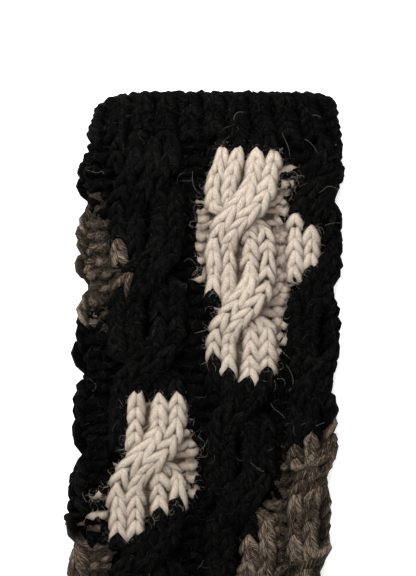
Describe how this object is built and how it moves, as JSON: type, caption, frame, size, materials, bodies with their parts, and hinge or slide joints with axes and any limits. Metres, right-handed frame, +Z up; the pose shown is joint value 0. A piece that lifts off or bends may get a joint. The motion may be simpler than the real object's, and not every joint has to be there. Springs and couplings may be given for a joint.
{
  "type": "arm warmer",
  "caption": "Chunky hand-knitted arm warmer with rope cables and ribbed bands at both ends, a sleeve for the forearm, lying flat.",
  "frame": {"origin": "under the middle of the bounding box, on the surface the arm warmer lies on", "axes": "+Y along the arm towards the upper edge, +X to the right seen from above, +Z up out of the front"},
  "size_m": [0.1282, 0.34, 0.0161],
  "materials": {
    "black_wool": "matt, hairy two-ply wool",
    "cream_wool": "matt, hairy two-ply wool",
    "taupe_wool": "matt, hairy marled wool"
  },
  "bodies": {
    "root": {"upper_band": "black_wool", "cable_body": "black_wool", "hand_band": "black_wool"}
  },
  "joints": []
}
